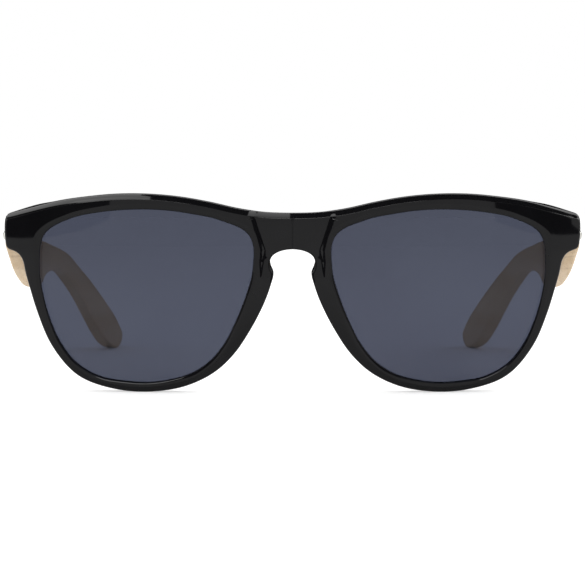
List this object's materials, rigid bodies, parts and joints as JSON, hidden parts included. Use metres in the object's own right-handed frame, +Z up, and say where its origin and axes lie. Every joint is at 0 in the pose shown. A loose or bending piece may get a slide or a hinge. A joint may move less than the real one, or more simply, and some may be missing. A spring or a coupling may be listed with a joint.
{
  "type": "sunglasses",
  "caption": "Sunglasses with a glossy moulded front, keyhole bridge, smoke-tinted lenses and wooden temples that fold on riveted barrel hinges.",
  "frame": {"origin": "middle of the whole object's box, on the surface that the rims and temple tips stand on", "axes": "+Z up, the front looks toward -Y, the temples run toward +Y and +X is the wearer's left"},
  "size_m": [0.1502, 0.1544, 0.0504],
  "materials": {
    "front": "polished black",
    "lens": "smoke tint",
    "bamboo": "fine sanded, clear oil",
    "hinge_metal": "nickel plated",
    "screw_metal": "plain steel",
    "rivet_metal": "polished nickel"
  },
  "bodies": {
    "front": {"front_frame": "front", "lens_left": "lens", "lens_right": "lens", "front_hinge_left": "hinge_metal", "front_hinge_right": "hinge_metal", "hinge_screw_left": "screw_metal", "hinge_screw_right": "screw_metal"},
    "left_temple": {"temple_left": "bamboo", "temple_hinge_left": "hinge_metal", "rivet_front_left": "rivet_metal", "rivet_rear_left": "rivet_metal"},
    "right_temple": {"temple_right": "bamboo", "temple_hinge_right": "hinge_metal", "rivet_front_right": "rivet_metal", "rivet_rear_right": "rivet_metal"}
  },
  "joints": [
    {"name": "temple_left_fold", "type": "hinge", "parent": "front", "child": "left_temple", "pos_m": [0.06805, -0.0605, 0.03955], "axis": [0, 0, 1], "range_deg": [0, 85]},
    {"name": "temple_right_fold", "type": "hinge", "parent": "front", "child": "right_temple", "pos_m": [-0.06805, -0.0605, 0.03955], "axis": [0, 0, -1], "range_deg": [0, 78]}
  ]
}
